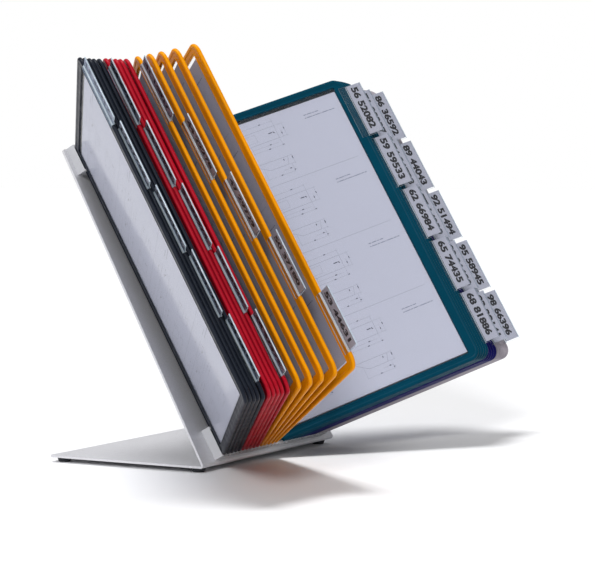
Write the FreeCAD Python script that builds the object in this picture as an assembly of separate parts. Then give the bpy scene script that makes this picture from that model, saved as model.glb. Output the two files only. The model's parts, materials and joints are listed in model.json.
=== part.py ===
import FreeCAD, Part
import math
import os

# Desktop reference display: thirty A4 pockets hang like the pages of a book on two bored
# hinge rails, on a bent sheet steel stand that leans back from the reader.
#
# The stand is drawn upright first and leaned back at the end: X to the right along the bend,
# Y to the rear with the back plate's front face at Y = 0, Z up from the bend.
# The finished part is +Z up, front towards -Y, with its origin on the table, at the middle
# of the footprint.
# Millimetres and degrees.

# ---- stand: one bent sheet on four rubber feet ----
SHEET = 2.0                # steel sheet thickness
BASE_WIDTH = 253.3
BASE_DEPTH = 166.7
BASE_CORNER_R = 4.0
LEAN = 29.9                # back plate from the vertical
BEND_R = 2.6               # outside radius of the bend
PLATE_HEIGHT = 327.3       # along the slope, from the outer corner of the bend
PLATE_TAPER = 18.7         # how far each side edge comes in over that height
PLATE_CORNER_R = 3.0
FOOT_HEIGHT = 4.5
FOOT_BASE_R = 6.8
FOOT_TIP_R = 5.4
FOOT_INSET_X = 11.0
FOOT_FRONT_Y = 13.0
FOOT_REAR_INSET = 10.0

# ---- hinge rails: a web against the plate, two bored flanges and an end lug each side ----
PANEL_COUNT = 30
PITCH = 6.73               # between hinge rods
PIVOT_DEPTH = 7.4          # rods in front of the plate
RAIL_DEPTH = 8.9
RAIL_LENGTH = 205.7
WEB = 3.0
FLANGE = 2.0
LUG = 3.0                  # thickness of an end lug
STOP_LEAN = {-1: 51.5, 1: 54.9}    # the end panels lean on the left and right lugs at these angles
STOP_GAP = 0.35            # between a lug and the panel resting by it
LOWER_RAIL = (6.0, 35.2)   # from the bend to the rail's bottom and top edges
UPPER_RAIL = (299.9, 327.3)
SCREW_R = 1.5
SCREW_HEAD_R = 2.9
SCREW_HEAD_H = 2.0
SCREW_HEAD_ROUND = 0.9
SCREW_X = (-82.0, 0.0, 82.0)
SOCKET_R = 1.0             # hexagon socket in the screw head, across its corners
SOCKET_DEPTH = 1.2

# ---- hinge rods ----
ROD_R = 1.0
ROD_HEAD_R = 1.6
ROD_HEAD_H = 0.8
ROD_BELOW = 0.8            # end standing out under the lower rail

# ---- pocket panel: moulded frame, clear pocket, A4 sheet, index tab and label ----
PAPER_W = 210.0
PAPER_H = 297.0
PAPER_T = 0.2
FRAME_T = 3.6
FRAME_REACH = 236.1        # hinge line to the outer edge
SPINE_BACK = 1.8           # spine behind the hinge line
SPINE_BEVEL = 0.8
FRAME_BOTTOM = 6.0
FRAME_TOP = 325.2
FRAME_CORNER_R = 11.5
WINDOW_IN = 13.2
WINDOW_OUT = 224.2
WINDOW_BOTTOM = 14.7
WINDOW_TOP = 317.2
WINDOW_CORNER_R = 1.5
EDGE_BEVEL = 0.7
BORE_R = 1.05              # running fit on the rod
NOTCH_REACH = 6.0          # the spine is cut back this far where it passes a flange
NOTCH_PLAY = 0.5
POCKET_T = 0.9
POCKET_WALL = 0.25
POCKET_SEAM = 0.3
PAPER_BOTTOM = 16.2

# ---- index tabs: five places down the outer edge ----
TAB_TOP = 314.0
TAB_LENGTH = 56.5
TAB_PITCH = 59.4
TAB_PLACES = 5
TAB_GRIP = 7.8             # how far the tab's legs reach over the frame
TAB_LEG = 0.75
TAB_PLAY = 0.1
TAB_REACH = 254.4
TAB_T = 1.6
LABEL_T = 0.25
LABEL_LENGTH = 55.0
LABEL_IN = 237.4
LABEL_OUT = 253.8

# ---- colour groups from left to right, and how far each panel leans: left is negative ----
GROUPS = {
    "black": (-51.5, -51.5, -51.5, -51.5, -51.3),
    "red": (-50.8, -50.7, -50.6, -50.5, -50.1),
    "yellow": (-48.4, -46.6, -44.8, -42.5, -38.9),
    "teal": (51.0, 51.1, 51.2, 51.4, 51.7),
    "blue": (54.1, 54.2, 54.3, 54.4, 54.4),
    "grey": (54.5, 54.6, 54.7, 54.8, 54.9),
}
# the two panels at the opening are kept as their separate pieces
OPEN_PANELS = ("yellow_5", "teal_1")

# ---- drawing aids ----
LONG = 1000.0              # longer than any part, for cutting tools
PAST = 1.0                 # how far a cutting tool stands past the face it cuts
NEAR = 0.01                # two points closer than this are one
PARALLEL = 1e-6


def box(x, y, z):
    """A block from three (low, high) pairs."""
    size = [high - low for low, high in (x, y, z)]
    return Part.makeBox(*size, FreeCAD.Vector(x[0], y[0], z[0]))


def bar(radius, x, y, z):
    """A round bar along Z, with z as (low, high)."""
    return Part.makeCylinder(radius, z[1] - z[0], FreeCAD.Vector(x, y, z[0]))


def slab(points, axis, low, high):
    """The outline points, given in the plane across the axis "y" or "z", made solid from low to high."""
    if axis == "y":
        outline = [FreeCAD.Vector(a, low, b) for a, b in points]
        along = FreeCAD.Vector(0, high - low, 0)
    else:
        outline = [FreeCAD.Vector(a, b, low) for a, b in points]
        along = FreeCAD.Vector(0, 0, high - low)
    face = Part.Face(Part.makePolygon(outline + outline[:1]))
    return face.extrude(along)


def edges_along(solid, direction, wanted):
    """The straight edges along a direction whose middle passes the wanted test."""
    found = []
    for edge in solid.Edges:
        if edge.Curve.TypeId != "Part::GeomLine":
            continue
        run = edge.Vertexes[1].Point - edge.Vertexes[0].Point
        if run.cross(direction).Length < PARALLEL and wanted(edge.CenterOfMass):
            found.append(edge)
    return found


def panels():
    """(name, number from 0, lean) of each panel, from left to right."""
    number = 0
    for colour, leans in GROUPS.items():
        for k, lean in enumerate(leans):
            yield f"{colour}_{k + 1}", number, lean
            number += 1


def pivot_x(number):
    return (number - (PANEL_COUNT - 1) / 2) * PITCH


# ---- stand ----
def stand_sheet():
    """The base and back plate, bent from one sheet, with holes for the rail screws."""
    slope = FreeCAD.Vector(0, math.sin(math.radians(LEAN)), math.cos(math.radians(LEAN)))
    inward = FreeCAD.Vector(0, math.cos(math.radians(LEAN)), -math.sin(math.radians(LEAN)))
    corner = FreeCAD.Vector(0, 0, 0)
    half_open = math.radians(90 - LEAN) / 2
    inner_corner = FreeCAD.Vector(0, SHEET / math.tan(half_open), SHEET)
    outline = [
        corner,
        FreeCAD.Vector(0, BASE_DEPTH, 0),
        FreeCAD.Vector(0, BASE_DEPTH, SHEET),
        inner_corner,
        slope * PLATE_HEIGHT + inward * SHEET,
        slope * PLATE_HEIGHT,
    ]
    section = Part.Face(Part.makePolygon(outline + outline[:1]))
    solid = section.extrude(FreeCAD.Vector(BASE_WIDTH, 0, 0))
    solid.translate(FreeCAD.Vector(-BASE_WIDTH / 2, 0, 0))
    width = FreeCAD.Vector(1, 0, 0)
    outside_bend = edges_along(solid, width, lambda p: p.Length < NEAR)
    solid = solid.makeFillet(BEND_R, outside_bend)
    inside_bend = edges_along(solid, width, lambda p: (p - inner_corner).Length < NEAR)
    solid = solid.makeFillet(BEND_R - SHEET, inside_bend)
    rear = edges_along(solid, FreeCAD.Vector(0, 0, 1), lambda p: p.y > BASE_DEPTH - NEAR)
    solid = solid.makeFillet(BASE_CORNER_R, rear)
    for side in (-1, 1):
        foot = side * BASE_WIDTH / 2
        head = foot - side * PLATE_TAPER
        beyond = [(foot, 0), (head, PLATE_HEIGHT), (head, LONG), (side * LONG, LONG), (side * LONG, 0)]
        solid = solid.cut(leaned(slab(beyond, "y", -PAST, SHEET + PAST)))
    top = edges_along(solid, inward, lambda p: p.z > PLATE_HEIGHT * slope.z - SHEET)
    solid = solid.makeFillet(PLATE_CORNER_R, top)
    for x in SCREW_X:
        for span in (LOWER_RAIL, UPPER_RAIL):
            start = FreeCAD.Vector(x, -PAST, sum(span) / 2)
            hole = Part.makeCylinder(SCREW_R, SHEET + 2 * PAST, start, FreeCAD.Vector(0, 1, 0))
            solid = solid.cut(leaned(hole))
    return solid


def feet():
    """Four tapered rubber feet under the corners of the base."""
    places = {
        "front_left": (-1, FOOT_FRONT_Y),
        "front_right": (1, FOOT_FRONT_Y),
        "rear_left": (-1, BASE_DEPTH - FOOT_REAR_INSET),
        "rear_right": (1, BASE_DEPTH - FOOT_REAR_INSET),
    }
    made = {}
    for corner, (side, y) in places.items():
        at = FreeCAD.Vector(side * (BASE_WIDTH / 2 - FOOT_INSET_X), y, -FOOT_HEIGHT)
        made[f"foot_{corner}"] = Part.makeCone(FOOT_TIP_R, FOOT_BASE_R, FOOT_HEIGHT, at)
    return made


def end_lug(side, span):
    """The lug that closes a rail's end, with a slope for the outermost panel to lean on."""
    outside = side * RAIL_LENGTH / 2
    inside = outside - side * LUG
    pivot = side * (PANEL_COUNT - 1) / 2 * PITCH
    lean = math.radians(STOP_LEAN[side])
    clear = FRAME_T / 2 + STOP_GAP

    def slope_y(x):
        out = abs(x - pivot)
        reach = (out - clear * math.cos(lean)) / math.sin(lean)
        return -(PIVOT_DEPTH + reach * math.cos(lean) - clear * math.sin(lean))

    outline = [(outside, 0), (outside, slope_y(outside)), (inside, slope_y(inside)), (inside, 0)]
    return slab(outline, "z", *span)


def rail(span):
    """A moulded hinge rail between two heights: web, two flanges bored for the rods, two lugs."""
    bottom, top = span
    half = RAIL_LENGTH / 2
    solid = box((-half, half), (-WEB, 0), span)
    for low in (bottom, top - FLANGE):
        flange = box((-half + LUG, half - LUG), (-RAIL_DEPTH, 0), (low, low + FLANGE))
        solid = solid.fuse(flange)
    for side in (-1, 1):
        solid = solid.fuse(end_lug(side, span))
    solid = solid.removeSplitter()
    through = (bottom - PAST, top + PAST)
    tools = [bar(ROD_R, pivot_x(n), -PIVOT_DEPTH, through) for n in range(PANEL_COUNT)]
    for x in SCREW_X:
        start = FreeCAD.Vector(x, -WEB - PAST, sum(span) / 2)
        tools.append(Part.makeCylinder(SCREW_R, WEB + 2 * PAST, start, FreeCAD.Vector(0, 1, 0)))
    return solid.cut(Part.makeCompound(tools))


def screw(x, z):
    """A button head screw from behind the plate, through it and the rail's web."""
    head_face = SHEET + SCREW_HEAD_H
    into = FreeCAD.Vector(0, 1, 0)
    shank = Part.makeCylinder(SCREW_R, WEB + SHEET, FreeCAD.Vector(x, -WEB, z), into)
    head = Part.makeCylinder(SCREW_HEAD_R, SCREW_HEAD_H, FreeCAD.Vector(x, SHEET, z), into)
    rim = [e for e in head.Edges if abs(e.CenterOfMass.y - head_face) < NEAR and e.Closed]
    head = head.makeFillet(SCREW_HEAD_ROUND, rim)
    hexagon = [
        (x + SOCKET_R * math.cos(math.radians(a)), z + SOCKET_R * math.sin(math.radians(a)))
        for a in range(0, 360, 60)
    ]
    socket = slab(hexagon, "y", head_face - SOCKET_DEPTH, head_face + PAST)
    return shank.fuse(head).cut(socket)


def hinge_rod(number):
    """A steel rod through both rails, held from falling by its head on the upper rail."""
    x = pivot_x(number)
    top = UPPER_RAIL[1]
    rod = bar(ROD_R, x, -PIVOT_DEPTH, (LOWER_RAIL[0] - ROD_BELOW, top))
    head = bar(ROD_HEAD_R, x, -PIVOT_DEPTH, (top, top + ROD_HEAD_H))
    return rod.fuse(head).removeSplitter()


# ---- panel, drawn on its own hinge line: X is its thickness and -Y points outwards ----
def across(out_from, out_to):
    """The (low, high) Y pair between two distances from the hinge line."""
    return (-out_to, -out_from)


def tab_span(place):
    """Heights of the index tab's ends at a place, 0 being the top one."""
    top = TAB_TOP - place * TAB_PITCH
    return (top - TAB_LENGTH, top)


def flange_levels():
    """Heights between which the spine is cut back to pass the rails' flanges."""
    for bottom, top in (LOWER_RAIL, UPPER_RAIL):
        yield (bottom - NOTCH_PLAY, bottom + FLANGE + NOTCH_PLAY)
        yield (top - FLANGE - NOTCH_PLAY, top + NOTCH_PLAY)


def plain_frame():
    """The moulded frame, before the place of its tab is cut into it."""
    half = FRAME_T / 2
    solid = box((-half, half), across(-SPINE_BACK, FRAME_REACH), (FRAME_BOTTOM, FRAME_TOP))
    up = FreeCAD.Vector(0, 0, 1)
    thick = FreeCAD.Vector(1, 0, 0)
    outer_corners = edges_along(solid, thick, lambda p: p.y < -FRAME_REACH / 2)
    solid = solid.makeFillet(FRAME_CORNER_R, outer_corners)
    solid = solid.makeChamfer(SPINE_BEVEL, edges_along(solid, up, lambda p: p.y > 0))
    solid = solid.makeChamfer(EDGE_BEVEL, edges_along(solid, up, lambda p: p.y < -FRAME_REACH + NEAR))
    through = (-half - PAST, half + PAST)
    window = box(through, across(WINDOW_IN, WINDOW_OUT), (WINDOW_BOTTOM, WINDOW_TOP))
    window = window.makeFillet(WINDOW_CORNER_R, edges_along(window, thick, lambda p: True))
    solid = solid.cut(window)
    for level in flange_levels():
        solid = solid.cut(box(through, across(-SPINE_BACK - PAST, NOTCH_REACH), level))
    return solid.cut(bar(BORE_R, 0, 0, (FRAME_BOTTOM - PAST, FRAME_TOP + PAST)))


def frame_for(place, blank):
    """The frame with a shallow recess each side of its outer bar for the legs of the tab."""
    half = FRAME_T / 2
    low, high = tab_span(place)
    width = across(FRAME_REACH - TAB_GRIP - TAB_PLAY, FRAME_REACH + PAST)
    length = (low - TAB_PLAY, high + TAB_PLAY)
    solid = blank
    for side in (-1, 1):
        depth = sorted((side * (half - TAB_LEG - TAB_PLAY), side * (half + PAST)))
        solid = solid.cut(box(depth, width, length))
    return solid


def pocket():
    """The clear pocket that fills the window: two foils welded at the sides and the bottom."""
    half = POCKET_T / 2
    solid = box((-half, half), across(WINDOW_IN, WINDOW_OUT), (WINDOW_BOTTOM, WINDOW_TOP))
    corners = edges_along(solid, FreeCAD.Vector(1, 0, 0), lambda p: True)
    solid = solid.makeFillet(WINDOW_CORNER_R, corners)
    room = half - POCKET_WALL
    inside = box(
        (-room, room),
        across(WINDOW_IN + POCKET_SEAM, WINDOW_OUT - POCKET_SEAM),
        (PAPER_BOTTOM - PAPER_T, WINDOW_TOP + PAST),
    )
    return solid.cut(inside)


def paper():
    """The A4 sheet, centred in the pocket and standing on its bottom seam."""
    middle = (WINDOW_IN + WINDOW_OUT) / 2
    return box(
        (-PAPER_T / 2, PAPER_T / 2),
        across(middle - PAPER_W / 2, middle + PAPER_W / 2),
        (PAPER_BOTTOM, PAPER_BOTTOM + PAPER_H),
    )


def index_tab(place):
    """The clear tab: two legs that grip the frame's outer bar and a flat sleeve for the label."""
    low, high = tab_span(place)
    leg_outer = FRAME_T / 2 - TAB_PLAY / 2
    leg_inner = leg_outer - TAB_LEG
    root = FRAME_REACH - TAB_GRIP
    bridge = FRAME_REACH + TAB_PLAY
    wall_end = LABEL_IN - 2 * TAB_PLAY
    right = [
        (leg_inner, -root),
        (leg_outer, -root),
        (leg_outer, -bridge),
        (TAB_T / 2, -wall_end),
        (TAB_T / 2, -TAB_REACH),
    ]
    left = [(-x, y) for x, y in reversed(right)]
    gap = [(-leg_inner, -bridge), (leg_inner, -bridge)]
    solid = slab(right + left + gap, "z", low, high)
    sleeve = box(
        (-LABEL_T / 2 - TAB_PLAY, LABEL_T / 2 + TAB_PLAY),
        across(LABEL_IN - TAB_PLAY, LABEL_OUT + TAB_PLAY),
        (high - LABEL_LENGTH - 2 * TAB_PLAY, high + PAST),
    )
    return solid.cut(sleeve)


def label(place):
    """The card label in the tab's sleeve."""
    top = tab_span(place)[1] - TAB_PLAY
    return box((-LABEL_T / 2, LABEL_T / 2), across(LABEL_IN, LABEL_OUT), (top - LABEL_LENGTH, top))


# ---- placing ----
def leaned(shape):
    """The upright shape, leaned back about the bend."""
    placed = shape.copy()
    placed.rotate(FreeCAD.Vector(0, 0, 0), FreeCAD.Vector(1, 0, 0), -LEAN)
    return placed


def hung(shape, number, lean):
    """A panel's piece, turned about its hinge rod and leaned back with the stand."""
    placed = shape.copy()
    placed.rotate(FreeCAD.Vector(0, 0, 0), FreeCAD.Vector(0, 0, 1), lean)
    placed.translate(FreeCAD.Vector(pivot_x(number), -PIVOT_DEPTH, 0))
    return leaned(placed)


def build():
    """Every node's shape, with the bend's outer corner on the X axis."""
    nodes = {"stand_sheet": stand_sheet()}
    nodes.update(feet())
    nodes["lower_rail"] = leaned(rail(LOWER_RAIL))
    nodes["upper_rail"] = leaned(rail(UPPER_RAIL))
    screws = [screw(x, sum(span) / 2) for x in SCREW_X for span in (LOWER_RAIL, UPPER_RAIL)]
    nodes["rail_screws"] = leaned(Part.makeCompound(screws))
    nodes["hinge_rods"] = leaned(Part.makeCompound([hinge_rod(n) for n in range(PANEL_COUNT)]))

    blank = plain_frame()
    frames = [frame_for(place, blank) for place in range(TAB_PLACES)]
    sleeve = pocket()
    sheet = paper()
    for name, number, lean in panels():
        place = number % TAB_PLACES
        pieces = {
            "frame": frames[place],
            "pocket": sleeve,
            "sheet": sheet,
            "tab": index_tab(place),
            "label": label(place),
        }
        placed = {piece: hung(shape, number, lean) for piece, shape in pieces.items()}
        if name in OPEN_PANELS:
            nodes.update({f"{name}_{piece}": shape for piece, shape in placed.items()})
        else:
            nodes[f"{name}_panel"] = Part.makeCompound(list(placed.values()))
    return nodes


def origin_shift(nodes):
    """The move that puts the origin on the table under the middle of the whole object's box."""
    box_all = Part.makeCompound(list(nodes.values())).optimalBoundingBox(False)
    return FreeCAD.Vector(-box_all.Center.x, -box_all.Center.y, -box_all.ZMin)


NODES = build()
SHIFT = origin_shift(NODES)

os.makedirs("parts", exist_ok=True)
for node, shape in NODES.items():
    shape.translate(SHIFT)
    shape.exportStep(f"parts/{node}.step")
print(len(NODES), "nodes; origin shift", [round(v, 3) for v in SHIFT])
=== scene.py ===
import json
import math

import bmesh
import bpy
from mathutils import Matrix, Vector


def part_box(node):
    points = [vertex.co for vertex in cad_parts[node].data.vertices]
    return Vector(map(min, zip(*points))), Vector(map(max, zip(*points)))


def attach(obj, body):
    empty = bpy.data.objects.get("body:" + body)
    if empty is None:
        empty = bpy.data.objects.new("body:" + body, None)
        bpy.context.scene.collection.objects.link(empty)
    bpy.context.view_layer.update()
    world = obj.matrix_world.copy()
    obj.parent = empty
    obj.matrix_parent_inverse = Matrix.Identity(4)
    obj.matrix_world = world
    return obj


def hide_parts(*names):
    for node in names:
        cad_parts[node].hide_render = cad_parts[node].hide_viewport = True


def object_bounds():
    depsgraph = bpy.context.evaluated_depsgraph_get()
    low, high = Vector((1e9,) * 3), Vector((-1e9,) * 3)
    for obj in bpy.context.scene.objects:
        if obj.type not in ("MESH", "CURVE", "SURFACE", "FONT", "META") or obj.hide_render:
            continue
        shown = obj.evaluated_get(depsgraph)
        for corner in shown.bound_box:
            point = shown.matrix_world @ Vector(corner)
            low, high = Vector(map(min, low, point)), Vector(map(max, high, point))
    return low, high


# The looks of a desktop flip display: thirty A4 pockets on a leaning steel stand.
# Metres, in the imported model's frame. MM turns the millimetres that sizes are written in into metres.
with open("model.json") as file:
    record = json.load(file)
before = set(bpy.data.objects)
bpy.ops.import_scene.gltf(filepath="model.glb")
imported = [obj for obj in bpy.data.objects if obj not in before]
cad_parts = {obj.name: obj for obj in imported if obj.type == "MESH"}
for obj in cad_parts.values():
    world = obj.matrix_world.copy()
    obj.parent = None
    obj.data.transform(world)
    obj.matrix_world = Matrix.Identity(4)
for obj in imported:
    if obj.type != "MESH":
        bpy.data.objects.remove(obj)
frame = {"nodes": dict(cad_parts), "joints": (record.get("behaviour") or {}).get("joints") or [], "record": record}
cad_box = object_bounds()

MM = 0.001
RECORD = frame["record"]
BODIES = RECORD["behaviour"]["bodies"]
JOINTS = {joint["child"]: joint for joint in frame["joints"]}
STAND = "stand"
PANEL_ORDER = [body for body in BODIES if body != STAND]
OPEN_LEFT, OPEN_RIGHT = "yellow_5", "teal_1"     # the two panels that are kept as separate CAD nodes
TAB_PLACES = 5

# ---- camera ----
CAMERA_BEARING = math.radians(62.005)    # from +Y towards +X
CAMERA_DIP = math.radians(2.892)
CAMERA_ROLL = math.radians(0.19)
CAMERA_DISTANCE = 1.973
CAMERA_LENS = 127.567                    # millimetres, as the sensor's width is
CAMERA_SENSOR = 36.0
CAMERA_AIM = Vector((7.6, -17.7, -29.1)) * MM    # from the middle of the object's box

# ---- light ----
SKY_SHOWN = 1.0
SKY_LIGHT = 0.33
TOP_POWER = 2.2
TOP_SPREAD = math.radians(18)
TOP_FROM = Vector((-0.05, 0.22, 1.0))
SIDE_POWER = 1.5
SIDE_SPREAD = math.radians(14)
SIDE_FROM = Vector((-1.0, -0.3, 0.6))
FLOOR_RADIUS = 60.0
FLOOR_STEPS = 96
FOIL_CROSSINGS = 64                      # clear faces that one line of sight may pass

# ---- a panel's moulded frame ----
CORNER_RADIUS = 11.5 * MM
SPINE_RADIUS = 1.4 * MM
CORNER_STEPS = 10
# the rounded bead round the edge: (distance in from the edge, half thickness)
BEAD = [
    (0.0, 0.40), (0.12, 0.85), (0.42, 1.28), (0.95, 1.60), (1.60, 1.77), (2.30, 1.80),
    (3.00, 1.76), (3.45, 1.62), (3.70, 1.40), (3.85, 1.30),
]
WEB_HALF = 1.30 * MM                     # the flat between the bead and the window's lip
# the lip round the window: (distance out from the window, half thickness)
LIP = [(1.30, 1.30), (1.15, 1.48), (0.95, 1.58), (0.45, 1.58), (0.12, 1.50), (0.0, 1.35)]
WINDOW_RADIUS = 1.5 * MM
BORE_RADIUS = 1.05 * MM
NOTCH_REACH = 6.0 * MM
NOTCH_PLAY = 0.5 * MM
FLANGE = 2.0 * MM
SEAT_PLAY = 0.1 * MM
FOIL = 0.25 * MM
FOIL_INSET = 0.02 * MM                   # of the foils, from the window's edge
TAB_LEG = 0.75 * MM
TAB_WALL = 0.55 * MM                     # half the thickness of a tab's sleeve
TAB_SHOULDER = 0.4 * MM
TAB_ROUNDING = 0.10 * MM
TAB_FLAT = 0.9                           # how squarely a tab's flat faces look sideways; faces less square than this get a painted highlight material
TAB_SLOPE = 0.4                          # and its sloping ones; faces less square still, its edges and rounded corners, get a second painted highlight material
PAST = 1.0 * MM                          # how far a cutting shape stands past what it cuts

# ---- edges and the stand ----
SMOOTH_BELOW = math.radians(32)          # edges gentler than this are shaded smooth
CAD_SMOOTH_BELOW = math.radians(30)
TAB_SMOOTH_BELOW = math.radians(50)
FOOT_SMOOTH_BELOW = math.radians(40)
ROUND_OVER = math.radians(40)            # edges sharper than this are rounded
STAND_ROUNDING = 0.35 * MM
RAIL_ROUNDING = 0.2 * MM
FOOT_TIP = 0.79                          # of the radius at a foot's top
FOOT_STEPS = 40
SAME_POINT = 0.001 * MM

# ---- print ----
INK_THICKNESS = 0.02 * MM
LINE_FINE = 0.16                         # line widths on a page, in millimetres
LINE_BOLD = 0.26
LINE_FIGURE = 0.95
LINE_TEXT = 0.85
DRAWING_STYLES = ((LINE_BOLD, 1), (LINE_FINE, 1), (LINE_FIGURE, 2))    # (width, slot) of its lists of lines
PAGE_START = -2.0                        # of the first section, below the sheet's top edge
SECTION = 73.4
SECTIONS = 4
RULE_INSET = 8.6                         # of the line between two sections, from the sheet's sides
DRAWING_COLUMNS = (6.0, 78.0)            # left edges of the two columns of drawings
PLATE_DOWN = 14.3                        # of the drawings, below the section's top
TRAY_DOWN = 48.4
NOTES_WIDTH = 43.5                       # from the start of the small type to the sheet's far side
NOTES = [                                # (down from the section's top, lengths of the words)
    (14.8, (3.2, 5.4, 2.1, 4.0)),
    (18.2, (1.6, 6.0, 2.4, 5.2, 1.0, 7.6, 3.0, 2.6)),
]
WORD_GAP = 0.8
CODE_HEIGHT = 8.0 * MM                   # of the digits on a label
CODE_LENGTH = 47.0 * MM
CODE_START = 2.8 * MM                    # from the label's top
CODE_WEIGHT = 0.05
ROOT_SHADE_LINE = 0.5 * MM                        # width of the dark line along a label's root: painted shade for the shaded gap where the card meets the tab's sleeve


def srgb(red, green, blue):
    """A colour of 0 to 255 a channel, as the linear colour that nodes take."""
    linear = []
    for channel in (red, green, blue):
        c = channel / 255
        linear.append(c / 12.92 if c <= 0.04045 else ((c + 0.055) / 1.055) ** 2.4)
    return (*linear, 1.0)


def circle(radius, steps=20):
    """Points round a circle about the origin."""
    angles = [2 * math.pi * k / steps for k in range(steps)]
    return [(radius * math.cos(angle), radius * math.sin(angle)) for angle in angles]


# ---- stage ----
def add_camera():
    """The camera at the photograph's viewing angle."""
    low, high = cad_box
    aim = (low + high) / 2 + CAMERA_AIM
    forward = Vector((
        math.sin(CAMERA_BEARING) * math.cos(CAMERA_DIP),
        math.cos(CAMERA_BEARING) * math.cos(CAMERA_DIP),
        -math.sin(CAMERA_DIP),
    ))
    right = Vector((math.cos(CAMERA_BEARING), -math.sin(CAMERA_BEARING), 0))
    up = right.cross(forward)
    rolled_right = right * math.cos(CAMERA_ROLL) + up * math.sin(CAMERA_ROLL)
    rolled_up = up * math.cos(CAMERA_ROLL) - right * math.sin(CAMERA_ROLL)
    data = bpy.data.cameras.new("camera")
    data.lens = CAMERA_LENS
    data.sensor_width = CAMERA_SENSOR
    camera = bpy.data.objects.new("camera", data)
    turn = Matrix((rolled_right, rolled_up, -forward)).transposed()
    camera.matrix_world = Matrix.Translation(aim - forward * CAMERA_DISTANCE) @ turn.to_4x4()
    bpy.context.scene.collection.objects.link(camera)
    bpy.context.scene.camera = camera


def add_sun(name, power, spread, come_from):
    """A far lamp whose light comes from the direction given."""
    data = bpy.data.lights.new(name, "SUN")
    data.energy = power
    data.angle = spread
    light = bpy.data.objects.new(name, data)
    light.rotation_mode = "QUATERNION"
    light.rotation_quaternion = (-come_from).to_track_quat("-Z", "Y")
    bpy.context.scene.collection.objects.link(light)


def add_world():
    """A plain white surrounding that looks white and lights softly."""
    world = bpy.data.worlds.new("studio")
    world.use_nodes = True
    tree = world.node_tree
    tree.nodes.clear()
    shown = tree.nodes.new("ShaderNodeBackground")
    shown.inputs["Strength"].default_value = SKY_SHOWN
    lighting = tree.nodes.new("ShaderNodeBackground")
    lighting.inputs["Strength"].default_value = SKY_LIGHT
    for background in (shown, lighting):
        background.inputs["Color"].default_value = (1, 1, 1, 1)
    path = tree.nodes.new("ShaderNodeLightPath")
    mix = tree.nodes.new("ShaderNodeMixShader")
    output = tree.nodes.new("ShaderNodeOutputWorld")
    tree.links.new(path.outputs["Is Camera Ray"], mix.inputs[0])
    tree.links.new(lighting.outputs[0], mix.inputs[1])
    tree.links.new(shown.outputs[0], mix.inputs[2])
    tree.links.new(mix.outputs[0], output.inputs[0])
    bpy.context.scene.world = world


def add_floor():
    """A plain round floor, so wide that its rim is out of sight."""
    rim = [(x, y, 0) for x, y in circle(FLOOR_RADIUS, FLOOR_STEPS)]
    mesh = bpy.data.meshes.new("floor")
    mesh.from_pydata(rim, [], [list(range(len(rim)))])
    mesh.materials.append(floor_paper())
    floor = bpy.data.objects.new("floor", mesh)
    bpy.context.scene.collection.objects.link(floor)


# ---- materials ----
class Nodes:
    """A material under construction, with its Principled shader and object coordinates."""

    def __init__(self, name):
        self.made = bpy.data.materials.new(name)
        self.made.use_nodes = True
        self.tree = self.made.node_tree
        self.shader = self.tree.nodes["Principled BSDF"]
        self.coordinates = self.tree.nodes.new("ShaderNodeTexCoord").outputs["Object"]

    def set(self, **values):
        for socket, value in values.items():
            self.shader.inputs[socket.replace("_", " ")].default_value = value

    def link(self, output, socket):
        self.tree.links.new(output, socket)

    def noise(self, per_metre, detail=2.0, stretch=(1, 1, 1)):
        """A cloudy factor, mostly between 0.3 and 0.7."""
        mapping = self.tree.nodes.new("ShaderNodeMapping")
        mapping.inputs["Scale"].default_value = stretch
        self.link(self.coordinates, mapping.inputs["Vector"])
        node = self.tree.nodes.new("ShaderNodeTexNoise")
        node.inputs["Scale"].default_value = per_metre
        node.inputs["Detail"].default_value = detail
        self.link(mapping.outputs[0], node.inputs["Vector"])
        return node.outputs["Fac"]

    def between(self, factor, low, high, from_low=0.3, from_high=0.7):
        """A number from low to high as the factor goes over its range."""
        node = self.tree.nodes.new("ShaderNodeMapRange")
        node.inputs["From Min"].default_value = from_low
        node.inputs["From Max"].default_value = from_high
        node.inputs["To Min"].default_value = low
        node.inputs["To Max"].default_value = high
        self.link(factor, node.inputs["Value"])
        return node.outputs[0]

    def blend(self, factor, first, second):
        """A colour between two, by a factor of 0 to 1."""
        node = self.tree.nodes.new("ShaderNodeMix")
        node.data_type = "RGBA"
        node.inputs["A"].default_value = first
        node.inputs["B"].default_value = second
        self.link(factor, node.inputs["Factor"])
        return node.outputs["Result"]

    def mottle(self, factor, colour, dark, light):
        """The base colour, shaded from dark to light times itself by the factor."""
        shaded = self.blend(factor, shade(colour, dark), shade(colour, light))
        self.link(shaded, self.shader.inputs["Base Color"])

    def dull(self, factor, low, high):
        """The roughness, from low to high over the factor's middle range."""
        self.link(self.between(factor, low, high), self.shader.inputs["Roughness"])

    def bump(self, *layers):
        """Stacks (height, strength, distance) layers of relief."""
        normal = None
        for height, strength, distance in layers:
            node = self.tree.nodes.new("ShaderNodeBump")
            node.inputs["Strength"].default_value = strength
            node.inputs["Distance"].default_value = distance
            self.link(height, node.inputs["Height"])
            if normal is not None:
                self.link(normal, node.inputs["Normal"])
            normal = node.outputs[0]
        self.link(normal, self.shader.inputs["Normal"])
        return normal


def shade(colour, by):
    """The colour times a number, still opaque."""
    return (*(channel * by for channel in colour[:3]), 1.0)


def moulded_plastic(name, colour, roughness=0.34):
    """Satin moulded plastic: a fine spark-eroded grain, faint flow clouding and handled shine."""
    nodes = Nodes(name)
    nodes.mottle(nodes.between(nodes.noise(28, 3), 0, 1), colour, 0.92, 1.06)
    nodes.dull(nodes.noise(90, 4), roughness - 0.05, roughness + 0.08)
    nodes.set(Specular_IOR_Level=0.07)
    nodes.bump((nodes.noise(2600, 2), 0.10, 0.0001), (nodes.noise(35, 2), 0.05, 0.0006))
    return nodes.made


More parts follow.
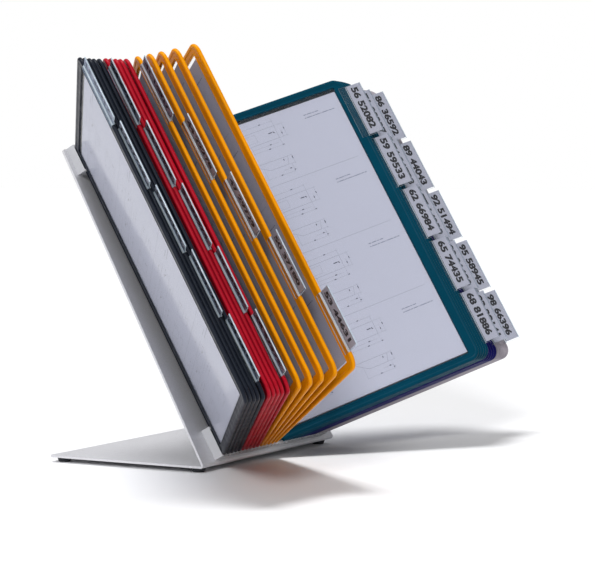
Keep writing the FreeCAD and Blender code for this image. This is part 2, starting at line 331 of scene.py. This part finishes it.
def powder_coat(name, colour):
    """Silver textured powder coat: metal flakes in a pebbled lacquer."""
    nodes = Nodes(name)
    nodes.mottle(nodes.between(nodes.noise(3200, 1), 0, 1, 0.42, 0.6), colour, 0.86, 1.10)
    nodes.dull(nodes.noise(140, 4), 0.36, 0.50)
    nodes.set(Metallic=0.35)
    nodes.bump((nodes.noise(1500, 3), 0.16, 0.0002), (nodes.noise(20, 2), 0.04, 0.001))
    return nodes.made


def steel(name, colour, stretch, roughness=0.28):
    """Drawn or turned steel: fine lines along the stretch, with patches of dulled plating."""
    nodes = Nodes(name)
    nodes.mottle(nodes.between(nodes.noise(120, 4), 0, 1), colour, 0.80, 1.05)
    lines = nodes.noise(2500, 2, stretch)
    nodes.dull(lines, roughness - 0.08, roughness + 0.14)
    nodes.set(Metallic=1.0)
    nodes.bump((lines, 0.12, 0.0001))
    return nodes.made


def rubber(name, colour):
    """Matt moulded rubber with a little dust on it."""
    nodes = Nodes(name)
    nodes.mottle(nodes.between(nodes.noise(220, 5), 0, 1, 0.45, 0.75), colour, 1.0, 1.7)
    nodes.dull(nodes.noise(400, 3), 0.62, 0.85)
    nodes.set(Specular_IOR_Level=0.35)
    nodes.bump((nodes.noise(1800, 3), 0.25, 0.0002))
    return nodes.made


def paper(name, colour):
    """Office paper: faint fibre clouding and a soft tooth."""
    nodes = Nodes(name)
    nodes.mottle(nodes.between(nodes.noise(900, 5, (1, 1, 0.4)), 0, 1), colour, 0.965, 1.02)
    nodes.dull(nodes.noise(60, 3), 0.72, 0.88)
    nodes.set(Specular_IOR_Level=0.3)
    nodes.bump((nodes.noise(1600, 4), 0.10, 0.0001), (nodes.noise(9, 1), 0.20, 0.004))
    return nodes.made


def ink(name, colour):
    """Toner: slightly uneven black on the paper's tooth."""
    nodes = Nodes(name)
    nodes.mottle(nodes.between(nodes.noise(700, 3), 0, 1), colour, 1.0, 1.35)
    nodes.dull(nodes.noise(300, 2), 0.45, 0.65)
    nodes.bump((nodes.noise(1600, 3), 0.10, 0.0001))
    return nodes.made


def clear_plastic(name, tint, haze, roughness, waves, ior, mirrored=(1, 1, 1, 1)):
    """Clear film or sheet: what is behind shows through, with a gloss that only a grazing look gets.

    haze is the share of light that its body scatters, waves how close its ripples are, and mirrored
    the colour of the gloss.
    """
    nodes = Nodes(name)
    tree = nodes.tree
    nodes.set(Base_Color=tint)
    smear = nodes.noise(45, 4)
    nodes.dull(smear, roughness, roughness + 0.10)
    normal = nodes.bump((nodes.noise(waves, 2), 0.15, 0.001))
    through = tree.nodes.new("ShaderNodeBsdfTransparent")
    through.inputs["Color"].default_value = tint
    gloss = tree.nodes.new("ShaderNodeBsdfGlossy")
    gloss.inputs["Color"].default_value = mirrored
    gloss.inputs["Roughness"].default_value = roughness
    nodes.link(normal, gloss.inputs["Normal"])
    # leaving the film bends light as much as entering it, so the index is turned over on the inside
    inside = tree.nodes.new("ShaderNodeNewGeometry").outputs["Backfacing"]
    fresnel = tree.nodes.new("ShaderNodeFresnel")
    nodes.link(nodes.between(inside, ior, 1 / ior, 0, 1), fresnel.inputs["IOR"])
    head_on = ((ior - 1) / (ior + 1)) ** 2
    grazing = nodes.between(fresnel.outputs[0], 0, 1, head_on, 1)
    body = tree.nodes.new("ShaderNodeMixShader")
    nodes.link(nodes.between(smear, haze * 0.7, haze * 1.3), body.inputs[0])
    nodes.link(through.outputs[0], body.inputs[1])
    nodes.link(nodes.shader.outputs[0], body.inputs[2])
    surface = tree.nodes.new("ShaderNodeMixShader")
    nodes.link(grazing, surface.inputs[0])
    nodes.link(body.outputs[0], surface.inputs[1])
    nodes.link(gloss.outputs[0], surface.inputs[2])
    nodes.link(surface.outputs[0], tree.nodes["Material Output"].inputs["Surface"])
    return nodes.made


def floor_paper():
    """The plain pale backdrop paper that everything stands on."""
    nodes = Nodes("floor_paper")
    nodes.set(Base_Color=(0.90, 0.90, 0.91, 1), Roughness=0.7, Specular_IOR_Level=0.1)
    return nodes.made


FRAME_COLOURS = {
    "black": srgb(31, 35, 45),
    "red": srgb(172, 18, 38),
    "yellow": srgb(230, 148, 0),
    "teal": srgb(0, 60, 80),
    "blue": srgb(20, 20, 86),
    "grey": srgb(158, 152, 160),
}
FRAME_PLASTIC = {
    colour: moulded_plastic(f"frame_{colour}", value) for colour, value in FRAME_COLOURS.items()
}
STAND_COATING = powder_coat("stand_coating", srgb(219, 219, 223))
RAIL_PLASTIC = moulded_plastic("rail_plastic", srgb(194, 195, 199), 0.42)
SCREW_STEEL = steel("screw_steel", (0.60, 0.60, 0.61, 1), (1, 1, 1))
ROD_STEEL = steel("rod_steel", (0.62, 0.62, 0.63, 1), (1, 0.05, 0.03))
FOOT_RUBBER = rubber("foot_rubber", srgb(46, 48, 52))
SHEET_PAPER = paper("sheet_paper", srgb(182, 184, 199))
LABEL_CARD = paper("label_card", srgb(176, 177, 191))
LINE_INK = ink("line_ink", srgb(112, 116, 134))
FIGURE_INK = ink("figure_ink", srgb(58, 60, 78))
CODE_INK = ink("code_ink", srgb(16, 16, 24))
FILM = clear_plastic(
    "clear_film", (0.985, 0.988, 0.993, 1), haze=0.010, roughness=0.10, waves=14, ior=1.04
)
# the tab's gloss colour is a dark blue-grey: painted shade, so its reflections look dark at grazing views as if
# they mirrored the shaded neighbouring panels
TAB_CLEAR = clear_plastic(
    "tab_clear", (0.975, 0.98, 0.985, 1), haze=0.012, roughness=0.06, waves=14, ior=1.32,
    mirrored=(0.20, 0.25, 0.34, 1),
)
# pale hazy materials for a tab's sloping faces and its edges: painted highlights that show as bright pale blue
# lines along the clear tab
TAB_SLOPE_HIGHLIGHT = clear_plastic(
    "tab_slope_highlight", (0.74, 0.83, 0.90, 1), haze=0.55, roughness=0.10, waves=30, ior=1.30
)
TAB_EDGE_HIGHLIGHT = clear_plastic(
    "tab_edge_highlight", (0.68, 0.78, 0.86, 1), haze=0.60, roughness=0.10, waves=30, ior=1.30
)


# ---- mesh building ----
class Shape:
    """Points and faces gathered before they become a mesh. A point is (thickness, outwards, height)."""

    def __init__(self):
        self.points = []
        self.faces = []
        self.slots = []

    def add(self, points, faces, slot=0):
        first = len(self.points)
        self.points.extend((x, -out, z) for x, out, z in points)
        self.faces.extend([first + index for index in face] for face in faces)
        self.slots.extend([slot] * len(faces))

    def box(self, x, out, z, slot=0):
        corners = [(a, b, c) for a in x for b in out for c in z]
        sides = [(0, 1, 3, 2), (4, 6, 7, 5), (0, 4, 5, 1), (2, 3, 7, 6), (0, 2, 6, 4), (1, 5, 7, 3)]
        self.add(corners, sides, slot)

    def rings(self, rings, slot=0):
        """Rings of equally many points, each joined to the next and the last to the first."""
        count = len(rings[0])
        faces = []
        for r in range(len(rings)):
            here, there = r * count, (r + 1) % len(rings) * count
            for k in range(count):
                after = (k + 1) % count
                faces.append((here + k, here + after, there + after, there + k))
        self.add([point for ring in rings for point in ring], faces, slot)

    def column(self, outline, low, high, slot=0):
        """An outline of (thickness, outwards) points made solid between two heights."""
        count = len(outline)
        points = [(x, out, z) for z in (low, high) for x, out in outline]
        faces = [list(range(count)), list(range(2 * count - 1, count - 1, -1))]
        faces += [(k, k + count, (k + 1) % count + count, (k + 1) % count) for k in range(count)]
        self.add(points, faces, slot)

    def stroke(self, x, start, end, width, slot):
        """A printed line between two (outwards, height) points, on the face at x."""
        along = Vector(end) - Vector(start)
        side = Vector((-along.y, along.x)).normalized() * width / 2
        corners = [Vector(start) - side, Vector(end) - side, Vector(end) + side, Vector(start) + side]
        points = [(level, c.x, c.y) for level in x for c in corners]
        faces = [(0, 1, 2, 3), (7, 6, 5, 4)]
        faces += [(k, k + 4, (k + 1) % 4 + 4, (k + 1) % 4) for k in range(4)]
        self.add(points, faces, slot)

    def mesh(self, name, materials=()):
        mesh = bpy.data.meshes.new(name)
        mesh.from_pydata(self.points, [], self.faces)
        mesh.polygons.foreach_set("material_index", self.slots)
        for material in materials:
            mesh.materials.append(material)
        return mesh


def finished(mesh, smooth_below=SMOOTH_BELOW):
    """The mesh with its normals outwards and its gentle edges shaded smooth."""
    work = bmesh.new()
    work.from_mesh(mesh)
    bmesh.ops.recalc_face_normals(work, faces=work.faces)
    work.to_mesh(mesh)
    work.free()
    mesh.polygons.foreach_set("use_smooth", [True] * len(mesh.polygons))
    mesh.set_sharp_from_angle(angle=smooth_below)
    return mesh


def evaluated_mesh(holder):
    """The mesh that an object has once its modifiers or its text are worked out."""
    bpy.context.view_layer.update()
    worked_out = holder.evaluated_get(bpy.context.evaluated_depsgraph_get())
    return bpy.data.meshes.new_from_object(worked_out)


def modified(mesh, cutter=None, bevel=0.0):
    """A new mesh with a cutter taken away, or with its sharp edges rounded."""
    body = bpy.data.objects.new("body", mesh)
    bpy.context.scene.collection.objects.link(body)
    helpers = [body]
    if cutter is not None:
        tool = bpy.data.objects.new("tool", cutter)
        bpy.context.scene.collection.objects.link(tool)
        helpers.append(tool)
        cut = body.modifiers.new("cut", "BOOLEAN")
        cut.object = tool
        cut.operation = "DIFFERENCE"
        cut.solver = "EXACT"
    if bevel:
        rounding = body.modifiers.new("rounding", "BEVEL")
        rounding.width = bevel
        rounding.segments = 3
        rounding.limit_method = "ANGLE"
        rounding.angle_limit = ROUND_OVER
    made = evaluated_mesh(body)
    for helper in helpers:
        bpy.data.objects.remove(helper)
    return made


def piece(name, mesh, body, place, slot, *nodes):
    """The mesh as a piece that rides on a body and stands for CAD nodes."""
    made = bpy.data.objects.new(name, mesh)
    made.matrix_world = place
    bpy.context.scene.collection.objects.link(made)
    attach(made, body)
    if nodes:
        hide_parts(*nodes)
    return made


# ---- where the panels are ----
def panel_place(body):
    """The panel's own axes: Z along its hinge, -Y outwards in its plane, origin at the hinge's middle."""
    joint = JOINTS[body]
    pivot = Vector(joint["pos_m"])
    axis = Vector(joint["axis"]).normalized()
    total, count = Vector(), 0
    for node in BODIES[body]:
        for vertex in frame["nodes"][node].data.vertices:
            total += vertex.co
            count += 1
    away = total / count - pivot
    outwards = (away - axis * away.dot(axis)).normalized()
    turn = Matrix(((-outwards).cross(axis), -outwards, axis)).transposed()
    return Matrix.Translation(pivot) @ turn.to_4x4()


class Extent:
    """How far a CAD node reaches in its panel's own axes."""

    def __init__(self, node, place):
        inverse = place.inverted()
        points = [inverse @ vertex.co for vertex in frame["nodes"][node].data.vertices]
        self.half = max(point.x for point in points)
        self.inner = -max(point.y for point in points)
        self.outer = -min(point.y for point in points)
        self.low = min(point.z for point in points)
        self.high = max(point.z for point in points)


PLACES = {body: panel_place(body) for body in PANEL_ORDER}
FRAME, POCKET, SHEET, TAB, LABEL = (
    Extent(f"{OPEN_RIGHT}_{part}", PLACES[OPEN_RIGHT])
    for part in ("frame", "pocket", "sheet", "tab", "label")
)
LAST_TAB = Extent(f"{OPEN_LEFT}_tab", PLACES[OPEN_LEFT])
TAB_PITCH = (TAB.low - LAST_TAB.low) / (TAB_PLACES - 1)


def rail_spans():
    """The (low, high) heights of the rails along a hinge, from their CAD nodes."""
    for node in ("lower_rail", "upper_rail"):
        rail = Extent(node, PLACES[OPEN_RIGHT])
        yield rail.low, rail.high


# ---- panel pieces ----
def rounded_loop(extent, inset, radii):
    """(outwards, height) points round a rectangle, inset all round, with a radius at each corner."""
    inner, outer = extent.inner + inset, extent.outer - inset
    low, high = extent.low + inset, extent.high - inset
    corners = [(inner, low, 1, 1), (outer, low, -1, 1), (outer, high, -1, -1), (inner, high, 1, -1)]
    points = []
    for k, ((out, z, to_out, to_z), radius) in enumerate(zip(corners, radii)):
        radius = max(radius - inset, 0.3 * MM)
        for step in range(CORNER_STEPS + 1):
            angle = math.radians(180 + 90 * (k + step / CORNER_STEPS))
            points.append((
                out + to_out * radius + radius * math.cos(angle),
                z + to_z * radius + radius * math.sin(angle),
            ))
    return points


def panel_frame_blank():
    """The moulded frame: a rounded bead round the edge, a flat web and a raised lip round the window."""
    edge_radii = (SPINE_RADIUS, CORNER_RADIUS, CORNER_RADIUS, SPINE_RADIUS)
    section = [(rounded_loop(FRAME, inset * MM, edge_radii), half * MM) for inset, half in BEAD]
    window_radii = (WINDOW_RADIUS,) * 4
    section += [(rounded_loop(POCKET, -out * MM, window_radii), half * MM) for out, half in LIP]
    front = [[(half, out, z) for out, z in loop] for loop, half in section]
    back = [[(-half, out, z) for out, z in loop] for loop, half in reversed(section)]
    shape = Shape()
    shape.rings(front + back)
    return shape


def panel_frame(place):
    """The frame for a tab place, with its tab's seat, its hinge bore and gaps for the rails' flanges."""
    mesh = finished(panel_frame_blank().mesh("frame"))
    gaps = Shape()
    notch = (FRAME.inner - PAST, NOTCH_REACH)
    for low, high in rail_spans():
        for bottom in (low, high - FLANGE):
            level = (bottom - NOTCH_PLAY, bottom + FLANGE + NOTCH_PLAY)
            gaps.box((-FRAME.half - PAST, FRAME.half + PAST), notch, level)
    low = TAB.low - place * TAB_PITCH - SEAT_PLAY
    high = TAB.high - place * TAB_PITCH + SEAT_PLAY
    seat = TAB.half - TAB_LEG - SEAT_PLAY
    for side in (-1, 1):
        depth = sorted((side * seat, side * (FRAME.half + PAST)))
        gaps.box(depth, (TAB.inner - SEAT_PLAY, FRAME.outer + PAST), (low, high))
    mesh = modified(mesh, cutter=finished(gaps.mesh("gaps")))
    bore = Shape()
    bore.column(circle(BORE_RADIUS), FRAME.low - PAST, FRAME.high + PAST)
    return finished(modified(mesh, cutter=finished(bore.mesh("bore"))))


def pocket_mesh():
    """Two clear foils over the window, welded to each other along the sides and the bottom."""
    loop = rounded_loop(POCKET, FOIL_INSET, (WINDOW_RADIUS,) * 4)
    count = len(loop)
    faces = [list(range(count)), list(range(2 * count - 1, count - 1, -1))]
    faces += [(k, (k + 1) % count, (k + 1) % count + count, k + count) for k in range(count)]
    shape = Shape()
    for side in (-1, 1):
        levels = sorted((side * POCKET.half, side * (POCKET.half - FOIL)))
        shape.add([(x, out, z) for x in levels for out, z in loop], faces)
    return finished(shape.mesh("pocket", [FILM]))


# drawings are lists of ((across, down), (across, down)) lines in millimetres from their own top left corner
def closed(*corners):
    return [(corners[k], corners[(k + 1) % len(corners)]) for k in range(len(corners))]


def plate_drawing():
    """A plate with a raised field: its outlines, its dimension lines and the marks for its figures."""
    bold = closed((0, 0.5), (53.5, 0), (53.5, 13.6), (0, 14.1))
    fine = closed((5, 3), (30, 3), (30, 11), (5, 11))
    fine += [
        ((18, -5), (54.5, -5.3)), ((20.7, 18), (50.8, 18)), ((20.7, 21.8), (54.2, 21.8)),
        ((53.5, -7), (53.5, 0)), ((53.5, 13.6), (53.5, 23)), ((20.7, 14), (20.7, 23)),
        ((54, 0), (64.5, 0)), ((54, 13.6), (64.5, 13.6)),
        ((62.5, -1), (62.5, 14.5)), ((58.4, 6), (58.4, 13.6)),
    ]
    marks = [
        ((44.3, 6.2), (48.6, 6.2)), ((49.4, 5.8), (51.0, 7.4)), ((38.5, -5.4), (40.4, -5.4)),
        ((62.5, 4.6), (62.5, 6.6)), ((58.4, 8.8), (58.4, 10.6)), ((40.2, 17.8), (42.3, 17.8)),
        ((37.4, 21.8), (39.5, 21.8)), ((53.8, 21.6), (55.3, 21.6)),
    ]
    return bold, fine, marks


def tray_drawing():
    """A folded tray seen from the end."""
    bold = closed((14, 0), (52.4, 0.2), (49.6, 8.7), (28.5, 8.7))
    fine = [
        ((56.8, -1), (56.8, 10)), ((52.4, 0), (58, 0)), ((50, 8.7), (58, 8.7)),
        ((42, 13.2), (54, 13.2)), ((22.5, 17.2), (53.6, 17.2)),
        ((22.5, 6), (22.5, 18)), ((53.2, 9), (53.2, 18)),
    ]
    marks = [
        ((46.8, 1.8), (46.8, 3.6)), ((56.8, 1.4), (56.8, 4.2)), ((49.0, 13.0), (51.0, 13.0)),
        ((52.8, 15.6), (54.4, 15.6)), ((36.9, 17.0), (38.9, 17.0)),
    ]
    return bold, fine, marks


def words(start, down, lengths):
    """A row of bars with gaps between them, standing for a line of small type."""
    bars = []
    for length in lengths:
        bars.append(((start, down), (start + length, down)))
        start += length + WORD_GAP
    return bars


def page_lines():
    """(start, end, width, slot) of a page's printed lines, in millimetres from its top left corner."""
    width = (SHEET.outer - SHEET.inner) / MM
    for n in range(SECTIONS):
        top = PAGE_START + n * SECTION
        if n:
            yield (RULE_INSET, top), (width - RULE_INSET, top), LINE_BOLD, 1
        for down, lengths in NOTES:
            for start, end in words(width - NOTES_WIDTH, top + down, lengths):
                yield start, end, LINE_TEXT, 1
        for column in DRAWING_COLUMNS:
            for drawing, down in ((plate_drawing(), PLATE_DOWN), (tray_drawing(), TRAY_DOWN)):
                for lines, style in zip(drawing, DRAWING_STYLES):
                    for line in lines:
                        yield *((column + x, top + down + y) for x, y in line), *style


def sheet_mesh():
    """The A4 sheet with the same drawing page printed on both of its faces."""
    shape = Shape()
    shape.box((-SHEET.half, SHEET.half), (SHEET.inner, SHEET.outer), (SHEET.low, SHEET.high))
    for side in (-1, 1):
        level = sorted((side * SHEET.half, side * (SHEET.half + INK_THICKNESS)))
        for start, end, width, slot in page_lines():
            ends = []
            for across, down in (start, end):
                out = SHEET.inner + across * MM if side < 0 else SHEET.outer - across * MM
                ends.append((out, SHEET.high - down * MM))
            shape.stroke(level, *ends, width * MM, slot)
    return finished(shape.mesh("sheet", [SHEET_PAPER, LINE_INK, FIGURE_INK]))


def tab_mesh():
    """The clear tab: two legs that grip the frame and a flat sleeve that the label slides into."""
    leg_inner = TAB.half - TAB_LEG
    bridge = FRAME.outer + SEAT_PLAY
    wall_end = LABEL.inner - 2 * SEAT_PLAY
    right = [
        (leg_inner, TAB.inner), (TAB.half, TAB.inner), (TAB.half, bridge - TAB_SHOULDER),
        (TAB_WALL, wall_end), (TAB_WALL, TAB.outer),
    ]
    left = [(-x, out) for x, out in reversed(right)]
    shape = Shape()
    shape.column(right + left + [(-leg_inner, bridge), (leg_inner, bridge)], TAB.low, TAB.high)
    sleeve = Shape()
    room = LABEL.half + SEAT_PLAY
    sleeve.box(
        (-room, room), (LABEL.inner - SEAT_PLAY, LABEL.outer + SEAT_PLAY),
        (LABEL.low - SEAT_PLAY, TAB.high + PAST),
    )
    mesh = modified(finished(shape.mesh("tab")), cutter=finished(sleeve.mesh("sleeve")))
    mesh = modified(mesh, bevel=TAB_ROUNDING)
    # flat faces stay clear; the sloping faces and the edges get the painted highlight materials
    for material in (TAB_CLEAR, TAB_SLOPE_HIGHLIGHT, TAB_EDGE_HIGHLIGHT):
        mesh.materials.append(material)
    for polygon in mesh.polygons:
        sideways = abs(polygon.normal.x)
        polygon.material_index = 0 if sideways > TAB_FLAT else 1 if sideways > TAB_SLOPE else 2
    return finished(mesh, TAB_SMOOTH_BELOW)


def code_of(number):
    """Made-up digits for a panel's label."""
    return f"{11 + 3 * number:02d} {(20317 + 7451 * number) % 90000 + 10000}"


def digits_mesh(text):
    """The text as a thin solid, reading along X with its tops towards Y, from its own left end."""
    curve = bpy.data.curves.new("digits", "FONT")
    curve.body = text
    curve.size = 1.0
    curve.offset = CODE_WEIGHT
    curve.extrude = 0.5
    curve.resolution_u = 4
    holder = bpy.data.objects.new("digits", curve)
    bpy.context.scene.collection.objects.link(holder)
    mesh = evaluated_mesh(holder)
    bpy.data.objects.remove(holder)
    return mesh


def label_mesh(number):
    """The label card. Its panel's digits read downwards on the left face and upwards on the right."""
    shape = Shape()
    shape.box((-LABEL.half, LABEL.half), (LABEL.inner, LABEL.outer), (LABEL.low, LABEL.high))
    digits = digits_mesh(code_of(number))
    points = [vertex.co for vertex in digits.vertices]
    low = Vector((min(p.x for p in points), min(p.y for p in points)))
    span = Vector((max(p.x for p in points), max(p.y for p in points))) - low
    base = (LABEL.inner + LABEL.outer - CODE_HEIGHT) / 2
    for side in (-1, 1):
        placed = []
        for point in points:
            along = (point.x - low.x) / span.x * CODE_LENGTH + CODE_START
            height = LABEL.high - along if side < 0 else LABEL.high - CODE_LENGTH - 2 * CODE_START + along
            out = base + (point.y - low.y) / span.y * CODE_HEIGHT
            level = side * (LABEL.half + (INK_THICKNESS if point.z * side > 0 else 0))
            placed.append((level, out, height))
        shape.add(placed, [list(polygon.vertices) for polygon in digits.polygons], 1)
        level = sorted((side * LABEL.half, side * (LABEL.half + INK_THICKNESS)))
        # a dark line along the card's root is painted shade for the gap at the sleeve; a thinner grey line runs
        # along its outer edge
        root, rim = LABEL.inner + ROOT_SHADE_LINE / 2, LABEL.outer - ROOT_SHADE_LINE
        for edge, width, slot in ((root, ROOT_SHADE_LINE, 1), (rim, ROOT_SHADE_LINE / 2, 2)):
            shape.stroke(level, (edge, LABEL.low), (edge, LABEL.high), width, slot)
    return finished(shape.mesh("label", [LABEL_CARD, CODE_INK, LINE_INK]))


def lowered(mesh, drop):
    """A copy of the mesh, moved down along the hinge."""
    copy = mesh.copy()
    copy.transform(Matrix.Translation((0, 0, -drop)))
    return copy


def build_panels():
    frames = [panel_frame(place) for place in range(TAB_PLACES)]
    pocket, sheet, tab = pocket_mesh(), sheet_mesh(), tab_mesh()
    for number, body in enumerate(PANEL_ORDER):
        colour = body.split("_")[0]
        tab_place = number % TAB_PLACES
        place = PLACES[body]
        drop = tab_place * TAB_PITCH
        frame_copy = frames[tab_place].copy()
        frame_copy.materials.clear()
        frame_copy.materials.append(FRAME_PLASTIC[colour])
        parts = {
            "frame": (frame_copy, f"frame_{colour}"),
            "pocket": (pocket.copy(), "clear_film"),
            "sheet": (sheet.copy(), "paper"),
            "tab": (lowered(tab, drop), "clear_tab"),
            "label": (lowered(label_mesh(number), drop), "card"),
        }
        for part, (mesh, slot) in parts.items():
            if f"{body}_{part}" in BODIES[body]:
                nodes = [f"{body}_{part}"]
            else:
                nodes = [f"{body}_panel"] if part == "frame" else []
            piece(f"{body}_{part}_look", mesh, body, place, slot, *nodes)


# ---- stand ----
def dress(node, material, rounding=0.0):
    """A CAD node whose shape is right, with its finish and slightly rounded edges."""
    kept = frame["nodes"][node]
    kept.data.materials.clear()
    kept.data.materials.append(material)
    kept.data.polygons.foreach_set("use_smooth", [True] * len(kept.data.polygons))
    kept.data.set_sharp_from_angle(angle=CAD_SMOOTH_BELOW)
    if rounding:
        bevel = kept.modifiers.new("rounding", "BEVEL")
        bevel.width = rounding
        bevel.segments = 2
        bevel.limit_method = "ANGLE"
        bevel.angle_limit = ROUND_OVER


def foot_mesh(low, high):
    """A turned rubber foot with a rounded tip, a moulded ring and a hollow under it."""
    base = (high.x - low.x) / 2
    tall = high.z - low.z
    tip = base * FOOT_TIP
    profile = [
        (0, tall), (base - 0.4 * MM, tall), (base, tall - 0.4 * MM), (base * 0.97, tall * 0.62),
        (base * 0.93, tall * 0.58), (base * 0.92, tall * 0.50), (tip + 0.3 * MM, tall * 0.14),
        (tip - 0.1 * MM, tall * 0.04), (tip - 0.6 * MM, 0), (tip * 0.6, 0), (tip * 0.52, tall * 0.12),
        (0, tall * 0.14),
    ]
    points, faces = [], []
    for radius, z in profile:
        points += [(x, y, z) for x, y in circle(radius, FOOT_STEPS)]
    for row in range(len(profile) - 1):
        below, above = row * FOOT_STEPS, (row + 1) * FOOT_STEPS
        for k in range(FOOT_STEPS):
            after = (k + 1) % FOOT_STEPS
            faces.append((below + k, below + after, above + after, above + k))
    mesh = bpy.data.meshes.new("foot")
    mesh.from_pydata(points, [], faces)
    work = bmesh.new()
    work.from_mesh(mesh)
    bmesh.ops.remove_doubles(work, verts=work.verts, dist=SAME_POINT)
    work.to_mesh(mesh)
    work.free()
    mesh.materials.append(FOOT_RUBBER)
    return finished(mesh, FOOT_SMOOTH_BELOW)


def build_stand():
    dress("stand_sheet", STAND_COATING, STAND_ROUNDING)
    dress("lower_rail", RAIL_PLASTIC, RAIL_ROUNDING)
    dress("upper_rail", RAIL_PLASTIC, RAIL_ROUNDING)
    dress("rail_screws", SCREW_STEEL)
    dress("hinge_rods", ROD_STEEL)
    for node in BODIES[STAND]:
        if node.startswith("foot_"):
            low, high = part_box(node)
            at = Vector(((low.x + high.x) / 2, (low.y + high.y) / 2, low.z))
            piece(f"{node}_look", foot_mesh(low, high), STAND, Matrix.Translation(at), "foot_rubber", node)


add_camera()
add_world()
add_floor()
add_sun("top", TOP_POWER, TOP_SPREAD, TOP_FROM)
add_sun("side", SIDE_POWER, SIDE_SPREAD, SIDE_FROM)
bpy.context.scene.view_settings.view_transform = "Standard"
bpy.context.scene.cycles.transparent_max_bounces = FOIL_CROSSINGS
build_stand()
build_panels()
